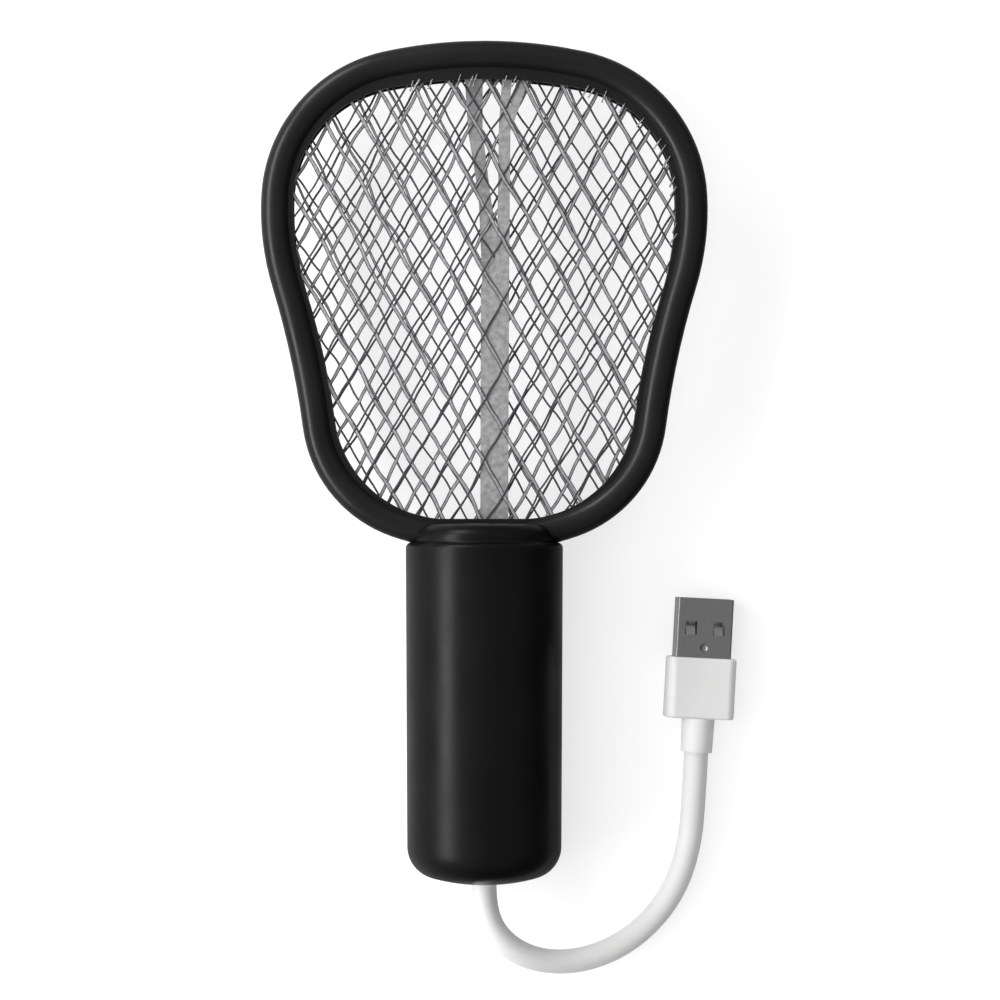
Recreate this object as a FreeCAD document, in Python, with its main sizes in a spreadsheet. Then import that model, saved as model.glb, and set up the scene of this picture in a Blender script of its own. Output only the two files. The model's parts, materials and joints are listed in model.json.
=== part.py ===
"""Electric fly swatter lying on its back: a racket head with three wire nets on a round handle.

Frame: +Y runs along the handle towards the head, +X to the right, +Z up out of the front face.
The origin lies under the middle of the swatter (without its cord), on the surface that it rests on.
All sizes are millimetres and degrees, and come from the spreadsheet "Sizes".
"""

import FreeCAD, Part
import math
import os
import re

import Sketcher
from FreeCAD import Placement, Rotation, Vector

SIZES = {
    # Outer outline of the head, as tangent arcs from the top centre down to the handle.
    "rim_top": 145.0,
    "rim_crown_radius": 165.3,
    "rim_crown_sweep": 12.03,
    "rim_shoulder_radius": 53.6,
    "rim_shoulder_sweep": 74.8,
    "rim_flank_radius": 92.2,
    "rim_flank_sweep": 20.07,
    "rim_waist_radius": 301.3,
    "rim_waist_sweep": 9.39,
    "rim_hip_radius": 46.0,
    "rim_hip_sweep": 63.18,
    # Outline of the opening that shows the nets, drawn in the same way.
    "opening_top": 131.7,
    "opening_crown_radius": 173.5,
    "opening_crown_sweep": 11.08,
    "opening_shoulder_radius": 40.14,
    "opening_shoulder_sweep": 77.46,
    "opening_flank_radius": 98.14,
    "opening_flank_sweep": 18.77,
    "opening_waist_radius": 259.9,
    "opening_waist_sweep": 9.89,
    "opening_hip_radius": 39.4,
    "opening_hip_sweep": 79.08,
    # Section of the head's two frames, and what they clamp.
    "bead_width": 9.8,
    "bead_half_depth": 7.5,
    "frame_wall": 1.6,
    "lip_thickness": 1.4,
    "bridge_width": 40.0,
    "bridge_top": -19.6,
    "bridge_end": -25.0,
    "net_inset": 7.3,
    "net_thickness": 0.5,
    "net_spacing": 3.0,
    "net_border": 2.0,
    "strand_width": 0.55,
    "diamond_width": 12.6,
    "diamond_height": 22.0,
    # Tang of the frames, which the handle clamps.
    "tang_width": 29.0,
    "tang_top": -29.4,
    "tang_end": -50.0,
    "tang_half_depth": 6.4,
    "duct_width": 11.0,
    "duct_depth": 4.0,
    # Handle: a body of revolution about a line at axis_height, with a flat back at height 0.
    # A narrower hood at its top closes round the head, and ends at the shoulder.
    "axis_height": 21.2,
    "handle_top": -20.9,
    "handle_end": -145.6,
    "handle_top_radius": 27.1,
    "handle_end_radius": 26.6,
    "top_crown_radius": 350.0,
    "top_corner_radius": 5.0,
    "hood_radius": 24.3,
    "shoulder_y": -29.7,
    "shoulder_radius": 2.0,
    "shoulder_foot_radius": 1.0,
    "end_crown_radius": 70.0,
    "end_corner_radius": 11.0,
    "shell_wall": 2.2,
    "back_edge_radius": 2.0,
    "seam_width": 0.5,
    "seam_depth": 0.45,
    "cord_hole_radius": 5.7,
    # Control panel recessed in the back.
    "panel_width": 22.0,
    "panel_top": -50.0,
    "panel_end": -104.0,
    "panel_depth": 0.8,
    "cap_standoff": 0.35,
    "trigger_y": -64.0,
    "trigger_radius": 7.3,
    "trigger_flange_radius": 8.7,
    "trigger_clearance": 0.2,
    "trigger_travel": 0.9,
    "power_y": -89.0,
    "power_width": 4.0,
    "power_length": 6.0,
    "power_travel": 4.0,
    "power_clearance": 0.2,
    "lamp_y": -100.0,
    "lamp_radius": 1.5,
    # Screws.
    "screw_x": 10.5,
    "neck_screw_y": -42.0,
    "end_screw_y": -124.0,
    "screw_shaft_radius": 1.3,
    "screw_head_radius": 2.5,
    "screw_head_height": 1.8,
    "screw_seat": 8.0,
    "screw_tip": 32.0,
    "boss_radius": 4.0,
    "boss_inset": 1.0,
    "rim_screw_shaft_radius": 0.9,
    "rim_screw_head_radius": 1.9,
    "rim_screw_head_height": 1.3,
    "rim_screw_seat": 5.2,
    "rim_boss_radius": 2.1,
    # Circuit board and what stands on it.
    "board_width": 37.0,
    "board_top": -47.5,
    "board_end": -118.0,
    "board_height": 9.0,
    "board_thickness": 1.6,
    "post_x": 15.5,
    "post_top_y": -53.0,
    "post_end_y": -113.0,
    "post_radius": 2.2,
    "post_screw_radius": 1.0,
    "post_screw_head_radius": 1.8,
    "post_screw_head_height": 1.3,
    "cell_radius": 9.2,
    "cell_length": 65.0,
    "cell_height": 31.8,
    "cell_middle_y": -85.0,
    "cradle_width": 21.6,
    "cradle_height": 7.0,
    # Cord, its gland and its plug.
    "cord_radius": 4.2,
    "gland_flange_radius": 8.2,
    "gland_flange_thickness": 2.0,
    "plug_roll": 8.0,
    "collar_length": 11.8,
    "collar_entry_radius": 5.5,
    "collar_root_radius": 5.8,
    "grip_length": 21.2,
    "grip_width": 24.0,
    "grip_thickness": 11.5,
    "grip_corner": 3.0,
    "shell_length": 20.6,
    "shell_width": 19.7,
    "shell_thickness": 7.5,
    "shell_sheet": 0.55,
    "shell_window": 4.1,
    "shell_window_length": 4.6,
    "tab_width": 3.3,
    "tab_length": 3.9,
    "tab_thickness": 0.4,
    "tab_slope": 24.0,
    "dimple_radius": 1.75,
    "dimple_centre_height": 1.0,
    "dimple_sheet": 0.4,
    "dimple_ahead": 3.5,
}

# Outlines of the two ribs that keep the nets apart. Both share the stem, and each has its own arm.
RIB_FRONT = [
    (-1.4, -25.0), (8.2, -25.0), (8.6, 68.0), (9.0, 114.0), (16.9, 136.0),
    (12.5, 136.0), (8.6, 122.0), (10.0, 136.0), (6.4, 136.0), (5.0, 116.0), (4.4, 72.0), (-1.2, 60.0),
]
RIB_REAR = [
    (-1.0, -25.0), (7.8, -25.0), (7.4, 62.0), (2.4, 90.0), (-0.6, 114.0), (-0.6, 136.0), (-7.0, 136.0),
    (-5.6, 114.0), (-2.0, 92.0), (-0.8, 64.0),
]

# Route of the free cord: from the gland, round a loop on the table, to the plug's collar.
CORD_ROUTE = [
    (0.0, -145.4, 21.2),
    (0.0, -153.4, 21.2),
    (3.8, -163.0, 20.4),
    (12.2, -170.4, 17.4),
    (23.6, -173.8, 13.4),
    (36.4, -173.0, 9.6),
    (49.2, -167.8, 6.6),
    (60.2, -158.4, 5.0),
    (68.0, -146.2, 4.6),
    (72.0, -131.6, 5.0),
    (73.1, -115.7, 7.0),
    (73.9, -101.0, 7.0),
]

DOC = FreeCAD.newDocument("fly_swatter")
UP = Vector(0, 0, 1)
PARTS = []


# ---------------------------------------------------------------- document helpers


def make_sheet():
    sheet = DOC.addObject("Spreadsheet::Sheet", "Sizes")
    for row, (alias, value) in enumerate(SIZES.items(), start=1):
        sheet.set(f"A{row}", alias.replace("_", " "))
        sheet.set(f"B{row}", str(value))
        sheet.setAlias(f"B{row}", alias)
    DOC.recompute()
    return sheet


SHEET = make_sheet()


def size(alias):
    """A driving dimension, read from the sheet."""
    return float(getattr(SHEET, alias))


def bound(text):
    """An expression in plain aliases, with each alias pointed at the sheet."""
    return re.sub(r"[a-z_]{3,}", lambda m: f"Sizes.{m[0]}" if m[0] in SIZES else m[0], str(text))


def value(text):
    """What an expression made of aliases, numbers, +, - and * comes to now."""
    total = 0.0
    for sign, term in re.findall(r"([+-]?)\s*([^+\-\s][^+-]*)", str(text)):
        product = 1.0
        for factor in term.split("*"):
            factor = factor.strip()
            product *= size(factor) if factor in SIZES else float(factor)
        total += -product if sign == "-" else product
    return total


def keep(label, obj):
    """Marks obj as the sub-part that is written to parts/label.step."""
    obj.Label = label
    PARTS.append(obj)
    return obj


def bind_base(obj, corner):
    for axis, text in zip("xyz", corner):
        obj.setExpression("Placement.Base." + axis, bound(text))


def box(name, lengths, middle):
    """A box centred on middle in X and Y, standing on middle's height."""
    obj = DOC.addObject("Part::Box", name)
    for prop, text in zip(("Length", "Width", "Height"), lengths):
        obj.setExpression(prop, bound(text))
    x, y, z = middle
    bind_base(obj, (f"{x} - 0.5 * ({lengths[0]})", f"{y} - 0.5 * ({lengths[1]})", z))
    return obj


def rod(name, radius, length, start, along="z"):
    """A round rod that runs from start along an axis."""
    obj = DOC.addObject("Part::Cylinder", name)
    obj.setExpression("Radius", bound(radius))
    obj.setExpression("Height", bound(length))
    turns = {"z": Rotation(), "y": Rotation(Vector(1, 0, 0), -90), "x": Rotation(Vector(0, 1, 0), 90)}
    obj.Placement.Rotation = turns[along]
    bind_base(obj, start)
    return obj


def shape_of(name, shape):
    """A Part::Feature for a shape that no primitive makes."""
    obj = DOC.addObject("Part::Feature", name)
    obj.Shape = shape
    return obj


def cut(name, base, *tools):
    for number, tool in enumerate(tools):
        result = DOC.addObject("Part::Cut", f"{name}_cut{number}")
        result.Base = base
        result.Tool = tool
        base = result
    return base


def fuse(name, *pieces):
    obj = DOC.addObject("Part::MultiFuse", name)
    obj.Shapes = list(pieces)
    obj.Refine = True
    return obj


def common(name, first, second):
    obj = DOC.addObject("Part::Common", name)
    obj.Base = first
    obj.Tool = second
    return obj


def group(name, pieces):
    obj = DOC.addObject("Part::Compound", name)
    obj.Links = list(pieces)
    return obj


def mirrored(name, source, normal, base):
    obj = DOC.addObject("Part::Mirroring", name)
    obj.Source = source
    obj.Normal = normal
    obj.Base = base
    return obj


# ---------------------------------------------------------------- PartDesign helpers


def new_body(label, base=("0", "0", "0"), rotation=None):
    body = DOC.addObject("PartDesign::Body", label)
    if rotation:
        body.Placement.Rotation = rotation
    bind_base(body, base)
    return keep(label, body)


def new_sketch(body, role, offset="0"):
    sketch = body.newObject("Sketcher::SketchObject", body.Name + "_sketch")
    plane = next(f for f in body.Origin.OriginFeatures if f.Role == role)
    sketch.AttachmentSupport = [(plane, "")]
    sketch.MapMode = "FlatFace"
    sketch.setExpression("AttachmentOffset.Base.z", bound(offset))
    return sketch


def dimension(sketch, kind, *args, text):
    index = sketch.addConstraint(Sketcher.Constraint(kind, *args))
    sketch.setExpression(f"Constraints[{index}]", bound(text))


def draw_circle(sketch, radius):
    sketch.addGeometry(Part.Circle(Vector(), UP, value(radius)), False)
    sketch.addConstraint(Sketcher.Constraint("Coincident", 0, 3, -1, 1))
    dimension(sketch, "Radius", 0, value(radius), text=radius)


def draw_rectangle(sketch, width, height):
    """A rectangle centred on the sketch's origin."""
    x, y = 0.5 * value(width), 0.5 * value(height)
    corners = [Vector(-x, -y, 0), Vector(x, -y, 0), Vector(x, y, 0), Vector(-x, y, 0)]
    for index in range(4):
        sketch.addGeometry(Part.LineSegment(corners[index], corners[(index + 1) % 4]), False)
    for index in range(4):
        sketch.addConstraint(Sketcher.Constraint("Coincident", index, 2, (index + 1) % 4, 1))
        sketch.addConstraint(Sketcher.Constraint(("Horizontal", "Vertical")[index % 2], index))
    sketch.addConstraint(Sketcher.Constraint("Symmetric", 0, 1, 1, 2, -1, 1))
    dimension(sketch, "DistanceX", 0, 1, 0, 2, 2 * x, text=width)
    dimension(sketch, "DistanceY", 1, 1, 1, 2, 2 * y, text=height)


def draw_polygon(sketch, points):
    """A closed polygon whose corners are given as expressions."""
    corners = [Vector(value(x), value(y), 0) for x, y in points]
    count = len(corners)
    for index in range(count):
        sketch.addGeometry(Part.LineSegment(corners[index], corners[(index + 1) % count]), False)
    for index, (x, y) in enumerate(points):
        sketch.addConstraint(Sketcher.Constraint("Coincident", index, 2, (index + 1) % count, 1))
        dimension(sketch, "DistanceX", index, 1, value(x), text=x)
        dimension(sketch, "DistanceY", index, 1, value(y), text=y)


def pad(body, sketch, length):
    feature = body.newObject("PartDesign::Pad", body.Name + "_pad")
    feature.Profile = sketch
    feature.setExpression("Length", bound(length))
    return feature


def pocket(body, sketch, length, reverse=False):
    feature = body.newObject("PartDesign::Pocket", body.Name + "_pocket")
    feature.Profile = sketch
    feature.setExpression("Length", bound(length))
    feature.Reversed = reverse
    return feature


def revolve(body, sketch, axis="V_Axis"):
    feature = body.newObject("PartDesign::Revolution", body.Name + "_turn")
    feature.Profile = sketch
    feature.ReferenceAxis = (sketch, [axis])
    feature.Angle = 360
    return feature


def round_edges(body, base, radius, chosen):
    """Rounds the edges of the body's last feature that chosen(edge) picks."""
    DOC.recompute()
    names = [f"Edge{i + 1}" for i, e in enumerate(base.Shape.Edges) if chosen(e)]
    feature = body.newObject("PartDesign::Fillet", body.Name + "_round")
    feature.Base = (base, names)
    feature.setExpression("Radius", bound(radius))
    return feature


# ---------------------------------------------------------------- head


def arc_table(kind):
    """Radius, sweep and side of each arc of an outline, but for the last one, which closes it."""
    sides = {"crown": 1, "shoulder": 1, "flank": 1, "waist": -1, "hip": 1}
    return [
        (size(f"{kind}_{part}_radius"), size(f"{kind}_{part}_sweep"), side)
        for part, side in sides.items()
    ]


def outline(kind, inset=0.0):
    """Edges of a head outline moved inwards by inset: tangent arcs down the right side, then back up."""
    spot, heading = Vector(0, size(f"{kind}_top"), 0), 0.0
    arcs = []
    for radius, sweep, side in arc_table(kind) + [(None, None, 1)]:
        outward = Vector(-math.sin(heading), math.cos(heading), 0) * side
        if radius is None:
            radius, sweep = spot.x / outward.x, 180.0 + math.degrees(heading)
        centre = spot - outward * radius
        turned = [heading - side * math.radians(sweep) * share for share in (0.0, 0.5, 1.0)]
        spokes = [Vector(-math.sin(a), math.cos(a), 0) * side for a in turned]
        arcs.append([centre + spoke * (radius - side * inset) for spoke in spokes])
        spot, heading = centre + spokes[2] * radius, turned[2]
    across = [[Vector(-p.x, p.y, 0) for p in reversed(points)] for points in reversed(arcs)]
    return [Part.Arc(*points).toShape() for points in arcs + across]


def outline_wire(kind, inset=0.0):
    return Part.Wire(outline(kind, inset))


def on_bead(arc, share):
    """A point on the bead's middle line, on the right side."""
    edge = outline("rim", 0.5 * size("bead_width"))[arc]
    first, last = edge.FirstParameter, edge.LastParameter
    return edge.valueAt(first + (last - first) * share)


def band(outer, inner, low, thickness):
    """A flat ring between two closed wires."""
    face = Part.makeFace([outer, inner], "Part::FaceMakerBullseye")
    face.translate(Vector(0, 0, low))
    return face.extrude(Vector(0, 0, thickness))


def bead_section(hollow):
    """The bead's section at the top of the head. u runs inwards from the rim, and z is height."""
    half = 0.5 * size("bead_width")
    shoulder = size("bead_half_depth") - half
    stack = size("net_spacing") + 0.5 * size("net_thickness")
    inner = half - size("frame_wall")
    top = size("rim_top")

    def at(u, z):
        return Vector(0, top - u, z)

    def on_circle(radius, degrees):
        angle = math.radians(degrees)
        return at(half - radius * math.cos(angle), shoulder + radius * math.sin(angle))

    if not hollow:
        return Part.Wire(
            [
                Part.LineSegment(at(0, -shoulder), at(0, shoulder)).toShape(),
                Part.Arc(at(0, shoulder), on_circle(half, 90), at(2 * half, shoulder)).toShape(),
                Part.LineSegment(at(2 * half, shoulder), at(2 * half, -shoulder)).toShape(),
                Part.Arc(
                    at(2 * half, -shoulder), at(half, -shoulder - half), at(0, -shoulder)
                ).toShape(),
            ]
        )
    outer_end = 180 - math.degrees(math.asin((stack - shoulder) / half))
    inner_end = 180 - math.degrees(math.asin((stack - shoulder) / inner))
    return Part.Wire(
        [
            Part.LineSegment(at(0, 0), at(0, shoulder)).toShape(),
            Part.Arc(at(0, shoulder), on_circle(half, 90), on_circle(half, outer_end)).toShape(),
            Part.LineSegment(on_circle(half, outer_end), on_circle(inner, inner_end)).toShape(),
            Part.Arc(
                on_circle(inner, inner_end), on_circle(inner, 90), on_circle(inner, 0)
            ).toShape(),
            Part.LineSegment(on_circle(inner, 0), at(half - inner, 0)).toShape(),
            Part.LineSegment(at(half - inner, 0), at(0, 0)).toShape(),
        ]
    )


def sweep_round(name, section):
    """Sweeps a section of the bead round the head."""
    path = shape_of(name + "_path", outline_wire("rim", 0.5 * size("bead_width")))
    profile = shape_of(name + "_section", section)
    obj = DOC.addObject("Part::Sweep", name)
    obj.Sections = [profile]
    obj.Spine = (path, [f"Edge{i + 1}" for i in range(len(path.Shape.Edges))])
    obj.Solid = True
    obj.Frenet = False
    return obj


RIM_SCREWS = [(1, 0.04), (1, 0.62), (2, 0.8), (4, 0.3)]  # arc of the outline and share along it


def rim_screw_places():
    right = [on_bead(arc, share) for arc, share in RIM_SCREWS]
    return right + [Vector(-p.x, p.y, 0) for p in right]


def rim_half(name):
    """One frame half about height 0: a hollow half bead with its lip, screw bosses and half tang."""
    stack = size("net_spacing") + 0.5 * size("net_thickness")
    bead = sweep_round(name + "_bead", bead_section(hollow=True))
    lip = shape_of(
        name + "_lip",
        band(
            outline_wire("rim", size("bead_width") - 0.6 * size("frame_wall")),
            outline_wire("opening"),
            stack,
            size("lip_thickness"),
        ),
    )
    bridge = box(
        name + "_bridge",
        ("bridge_width", "bridge_top - bridge_end", "lip_thickness"),
        ("0", "0.5 * (bridge_top + bridge_end)", "net_spacing + 0.5 * net_thickness"),
    )
    bosses = [
        rod(f"{name}_boss{i}", "rim_boss_radius", "bead_half_depth - 1", (place.x, place.y, "0"))
        for i, place in enumerate(rim_screw_places())
    ]
    tang = box(
        name + "_tang",
        ("tang_width", "tang_top - tang_end", "tang_half_depth"),
        ("0", "0.5 * (tang_top + tang_end)", "0"),
    )
    duct = box(
        name + "_duct",
        ("duct_width", "tang_top - tang_end + 4", "duct_depth"),
        ("0", "0.5 * (tang_top + tang_end)", "-1"),
    )
    return cut(name, fuse(name + "_body", bead, lip, bridge, tang, *bosses), duct)


def neck_holes(name):
    return [
        rod(f"{name}{i}", "screw_shaft_radius + 0.2", "4 * tang_half_depth",
            (f"{side} * screw_x", "neck_screw_y", "-2 * tang_half_depth"))
        for i, side in enumerate((-1, 1))
    ]


def raise_to_axis(obj):
    obj.setExpression("Placement.Base.z", bound("axis_height"))
    return obj


def make_frames():
    pilots = [
        rod(f"rim_pilot{i}", "rim_screw_shaft_radius", "bead_half_depth - 3.5", (p.x, p.y, "-1"))
        for i, p in enumerate(rim_screw_places())
    ]
    front = cut("frame_front", rim_half("front_half"), *neck_holes("front_neck_hole"), *pilots)
    keep("frame_front", raise_to_axis(front))
    holes = []
    for i, p in enumerate(rim_screw_places()):
        holes.append(rod(f"rim_hole{i}", "rim_screw_shaft_radius + 0.15", "2 * bead_half_depth",
                         (p.x, p.y, "-1.5 * bead_half_depth")))
        holes.append(rod(f"rim_seat{i}", "rim_screw_head_radius + 0.15", "bead_half_depth",
                         (p.x, p.y, "-rim_screw_seat - bead_half_depth")))
    flipped = mirrored("rear_half_flipped", rim_half("rear_half"), UP, Vector())
    rear = cut("frame_rear", flipped, *neck_holes("rear_neck_hole"), *holes)
    keep("frame_rear", raise_to_axis(rear))


def envelope():
    """Everything that the head takes up where the handle's shells close round it."""
    bead = sweep_round("envelope_bead", bead_section(hollow=False))
    reach = size("net_spacing") + 0.5 * size("net_thickness") + size("lip_thickness")
    middle = band(
        outline_wire("rim", 0.5 * size("bead_width")), outline_wire("opening"), -reach, 2 * reach
    )
    bridge = box(
        "envelope_bridge",
        ("bridge_width", "bridge_top - bridge_end",
         "2 * net_spacing + net_thickness + 2 * lip_thickness"),
        ("0", "0.5 * (bridge_top + bridge_end)", "-net_spacing - 0.5 * net_thickness - lip_thickness"),
    )
    return raise_to_axis(fuse("head_envelope", bead, bridge, shape_of("envelope_middle", middle)))


def diamond_faces(region, shift_x, shift_y):
    """The net's diamond holes inside region, a planar face."""
    pitch_x, pitch_y = size("diamond_width"), size("diamond_height")
    slope = math.atan2(pitch_y, pitch_x)
    half_x = 0.5 * pitch_x - 0.5 * size("strand_width") / math.sin(slope)
    half_y = 0.5 * pitch_y - 0.5 * size("strand_width") / math.cos(slope)
    bounds = region.BoundBox
    faces = []
    rows = range(int(bounds.YMin / pitch_y * 2) - 3, int(bounds.YMax / pitch_y * 2) + 4)
    columns = range(int(bounds.XMin / pitch_x) - 2, int(bounds.XMax / pitch_x) + 3)
    for row in rows:
        for column in columns:
            x = shift_x + (column + 0.5 * (row % 2)) * pitch_x
            y = shift_y + 0.5 * row * pitch_y
            corners = [(x + half_x, y), (x, y + half_y), (x - half_x, y), (x, y - half_y)]
            points = [Vector(a, b, 0) for a, b in corners + corners[:1]]
            faces.append(Part.Face(Part.makePolygon(points)))
    inside = region.common(Part.makeCompound(faces))
    return [face for face in inside.Faces if face.Area > 0.5]


def make_net(label, level, shift_x, shift_y, tab_x):
    """A flat wire net with a solid border, which the frames clamp, and a tab for its soldered lead."""
    border = size("net_inset") + size("net_border")
    region = Part.Face(outline_wire("rim", border))
    holes = [face.OuterWire for face in diamond_faces(region, shift_x, shift_y)]
    rim = outline_wire("rim", size("net_inset"))
    sheet_face = Part.makeFace([rim] + holes, "Part::FaceMakerBullseye")
    net = shape_of(label + "_sheet", sheet_face.extrude(Vector(0, 0, size("net_thickness"))))
    tab = box(label + "_tab", ("2.4", "4.2", "net_thickness"), (tab_x, "tang_top + 4.0", "0"))
    obj = fuse(label, net, tab)
    obj.setExpression(
        "Placement.Base.z", bound(f"axis_height + {level} * net_spacing - 0.5 * net_thickness")
    )
    return keep(label, obj)


def make_head_stack():
    make_net("net_front", 1, 0.0, 0.0, "-3.4")
    make_net("net_middle", 0, 0.5 * size("diamond_width"), 0.6, "0")
    make_net("net_rear", -1, 1.3, -1.0, "3.4")
    ring = band(
        outline_wire("rim", size("net_inset")),
        outline_wire("rim", size("bead_width")),
        0,
        size("net_spacing") - size("net_thickness"),
    )
    for label, low in (
        ("spacer_front", "axis_height + 0.5 * net_thickness"),
        ("spacer_rear", "axis_height - net_spacing + 0.5 * net_thickness"),
    ):
        obj = shape_of(label, ring)
        obj.setExpression("Placement.Base.z", bound(low))
        keep(label, obj)


def make_ribs():
    """Insulating ribs across the opening, as thick as the gap between two nets."""
    region = Part.Face(outline_wire("rim", size("bead_width") + 0.02))
    for label, outline_points, low in (
        ("rib_front", RIB_FRONT, "axis_height + 0.5 * net_thickness"),
        ("rib_rear", RIB_REAR, "axis_height - net_spacing + 0.5 * net_thickness"),
    ):
        corners = [Vector(x, y, 0) for x, y in outline_points]
        face = Part.Face(Part.makePolygon(corners + corners[:1])).common(region).Faces[0]
        obj = shape_of(label, face.extrude(Vector(0, 0, size("net_spacing") - size("net_thickness"))))
        obj.setExpression("Placement.Base.z", bound(low))
        keep(label, obj)


# ---------------------------------------------------------------- handle


def end_arcs(side_radius, tip, direction, crown, corner):
    """Corner and crown arcs that close the handle's profile, from its side to its axis."""
    across = side_radius - corner
    rise = math.sqrt((crown - corner) ** 2 - across**2)
    crown_centre = Vector(0, tip - direction * crown, 0)
    corner_centre = Vector(across, crown_centre.y + direction * rise, 0)
    towards = (corner_centre - crown_centre).normalize()
    start = corner_centre + Vector(corner, 0, 0)
    meet = crown_centre + towards * crown
    lean = math.atan2(towards.x, abs(towards.y))
    half_lean = 0.5 * (0.5 * math.pi + lean)
    corner_mid = corner_centre + Vector(math.sin(half_lean), direction * math.cos(half_lean), 0) * corner
    crown_mid = crown_centre + Vector(math.sin(0.5 * lean), direction * math.cos(0.5 * lean), 0) * crown
    return start, corner_mid, meet, crown_mid, Vector(0, tip, 0)


def handle_form(name, inset=0.0):
    """The handle as a body of revolution, moved inwards by inset."""
    top = end_arcs(
        size("hood_radius") - inset, size("handle_top") - inset, 1,
        size("top_crown_radius") - inset, max(size("top_corner_radius") - inset, 1.0),
    )
    hood_x = top[0].x
    body_x = size("handle_top_radius") - inset
    bend = max(size("shoulder_radius") - inset, 0.5)
    foot = size("shoulder_foot_radius") + inset
    lean = math.acos(1 - (body_x - hood_x) / (bend + foot))
    shoulder_y = size("shoulder_y") - (bend - size("shoulder_radius") + inset)
    shoulder_centre = Vector(body_x - bend, shoulder_y, 0)
    foot_centre = Vector(hood_x + foot, shoulder_centre.y + (bend + foot) * math.sin(lean), 0)
    shoulder_arc = [
        shoulder_centre + Vector(math.cos(angle), math.sin(angle), 0) * bend
        for angle in (lean, 0.5 * lean, 0)
    ]
    foot_arc = [
        foot_centre - Vector(math.cos(angle), math.sin(angle), 0) * foot
        for angle in (0, 0.5 * lean, lean)
    ]
    end = end_arcs(
        size("handle_end_radius") - inset, size("handle_end") + inset, -1,
        size("end_crown_radius") - inset, max(size("end_corner_radius") - inset, 1.0),
    )
    edges = [
        Part.Arc(top[4], top[3], top[2]).toShape(),
        Part.Arc(top[2], top[1], top[0]).toShape(),
        Part.LineSegment(top[0], foot_arc[0]).toShape(),
        Part.Arc(*foot_arc).toShape(),
        Part.Arc(foot_arc[2], *shoulder_arc[1:]).toShape(),
        Part.LineSegment(shoulder_arc[2], end[0]).toShape(),
        Part.Arc(end[0], end[1], end[2]).toShape(),
        Part.Arc(end[2], end[3], end[4]).toShape(),
        Part.LineSegment(end[4], top[4]).toShape(),
    ]
    profile = shape_of(name + "_profile", Part.Face(Part.Wire(edges)))
    turned = DOC.addObject("Part::Revolution", name)
    turned.Source = profile
    turned.Axis = Vector(0, 1, 0)
    turned.Angle = 360
    turned.Solid = False
    return raise_to_axis(turned)


def slab(name, low, high):
    """A plate larger than the handle, between two heights."""
    return box(name, ("200", "400", f"{high} - ({low})"), ("0", "0", low))


def stadium(name, width, low_y, high_y, low_z, depth):
    """A flat slot with round ends along Y."""
    middle = box(name + "_middle", (width, f"{high_y} - ({low_y}) - {width}", depth),
                 ("0", f"0.5 * ({low_y} + {high_y})", low_z))
    ends = [
        rod(f"{name}_end{i}", f"0.5 * {width}", depth, ("0", y, low_z))
        for i, y in enumerate((f"{low_y} + 0.5 * {width}", f"{high_y} - 0.5 * {width}"))
    ]
    return fuse(name, middle, *ends)


def shell_bosses(name, low, high):
    places = [(side, y) for side in (-1, 1) for y in ("neck_screw_y", "end_screw_y")]
    return [
        rod(f"{name}{i}", "boss_radius", f"{high[k]} - ({low[k]})", (f"{side} * screw_x", y, low[k]))
        for i, (side, y) in enumerate(places)
        for k in [i % 2]
    ]


def screw_holes(name, radius, low, high):
    places = [(side, y) for side in (-1, 1) for y in ("neck_screw_y", "end_screw_y")]
    return [
        rod(f"{name}{i}", radius, f"{high} - ({low})", (f"{side} * screw_x", y, low))
        for i, (side, y) in enumerate(places)
    ]


def rounded_back(outer):
    """Rounds the two long edges between the flat back and the round of the handle."""
    DOC.recompute()
    radius = size("back_edge_radius")
    half_length = 0.5 * (size("handle_top") - size("handle_end"))
    names = [
        (i + 1, radius, radius)
        for i, edge in enumerate(outer.Shape.Edges)
        if max(abs(edge.BoundBox.ZMax), abs(edge.BoundBox.ZMin)) < 1e-3
        and edge.BoundBox.YLength > half_length
    ]
    rounded = DOC.addObject("Part::Fillet", "handle_outer_rounded")
    rounded.Base = outer
    rounded.Edges = names
    return rounded


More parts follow.
